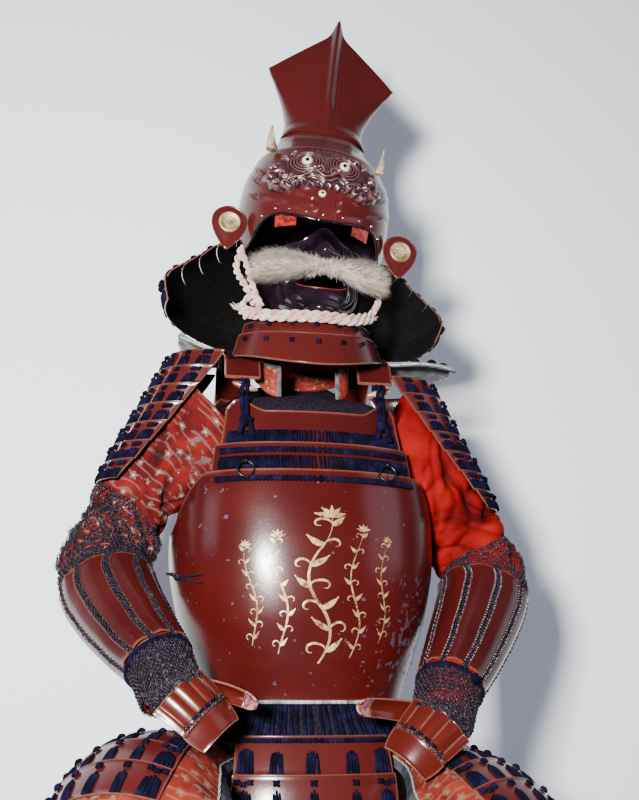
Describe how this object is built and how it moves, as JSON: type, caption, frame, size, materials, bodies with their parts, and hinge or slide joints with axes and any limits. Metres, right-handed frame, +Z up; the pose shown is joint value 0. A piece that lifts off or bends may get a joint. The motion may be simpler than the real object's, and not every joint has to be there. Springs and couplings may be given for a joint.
{
  "type": "suit of armour",
  "caption": "Laced suit of armour in seated pose: crowned helmet, face mask, cuirass, shoulder guards, armoured sleeves, laced skirt, thigh and shin guards.",
  "frame": {"origin": "between the two shoulder straps at shoulder height, where a display stand's crossbar or the wearer's shoulders carry the suit", "axes": "+Z up, front of the suit towards -Y, the wearer's left towards +X"},
  "size_m": [0.6734, 0.565, 1.6409],
  "materials": {
    "red_lacquer": "brownish red lacquer over iron, glossy",
    "black_lacquer": "black lacquer over iron, high gloss",
    "navy_braid": "flat indigo silk braid",
    "red_brocade": "red brocade with grey and gold flowers",
    "grey_cloth": "grey padded leather and cloth",
    "horsehair": "beige grey animal hair",
    "silk_rope": "twisted pink and cream silk rope",
    "carved_wood": "dark purple brown lacquered carving",
    "iron": "blackened iron",
    "horn": "polished horn"
  },
  "bodies": {
    "root": {"brow_horn_left": "horn", "brow_horn_right": "horn", "brow_ornament": "carved_wood", "chest_band": "red_lacquer", "chest_plate": "red_lacquer", "chest_ring_left": "iron", "chest_ring_right": "iron", "chest_staple_left": "iron", "chest_staple_right": "iron", "chin_cord": "silk_rope", "collar": "red_brocade", "cuirass_back": "red_lacquer", "cuirass_front": "red_lacquer", "ear_wing_left": "red_lacquer", "ear_wing_right": "red_lacquer", "face_mask": "black_lacquer", "finger_guard_left": "red_lacquer", "finger_guard_right": "red_lacquer", "forearm_sleeve_left": "red_brocade", "forearm_sleeve_right": "red_brocade", "forearm_splints_left": "red_lacquer", "forearm_splints_right": "red_lacquer", "hand_guard_left": "red_lacquer", "hand_guard_right": "red_lacquer", "helmet_bowl": "red_lacquer", "helmet_cord_left": "silk_rope", "helmet_cord_right": "silk_rope", "helmet_crown": "red_lacquer", "moustache": "horsehair", "neck_guard": "red_lacquer", "shin_guard_left": "red_lacquer", "shin_guard_right": "red_lacquer", "shoulder_guard_left": "red_lacquer", "shoulder_guard_right": "red_lacquer", "shoulder_strap_left": "red_lacquer", "shoulder_strap_right": "red_lacquer", "shoulder_wing_left": "grey_cloth", "shoulder_wing_right": "grey_cloth", "side_cord": "navy_braid", "skirt_lacing": "navy_braid", "sleeve_left": "red_brocade", "sleeve_right": "red_brocade", "strap_cord_left": "navy_braid", "strap_cord_right": "navy_braid", "strap_toggle_left": "horn", "strap_toggle_right": "horn", "tasset_front": "red_lacquer", "tasset_left": "red_lacquer", "tasset_left_back": "red_lacquer", "tasset_left_hip": "red_lacquer", "tasset_right": "red_lacquer", "tasset_right_back": "red_lacquer", "tasset_right_hip": "red_lacquer", "thigh_guard_left": "red_brocade", "thigh_guard_right": "red_brocade", "throat_guard": "red_lacquer", "thumb_guard_left": "red_lacquer", "thumb_guard_right": "red_lacquer", "wrist_cord_left": "navy_braid", "wrist_cord_right": "navy_braid"}
  },
  "joints": []
}
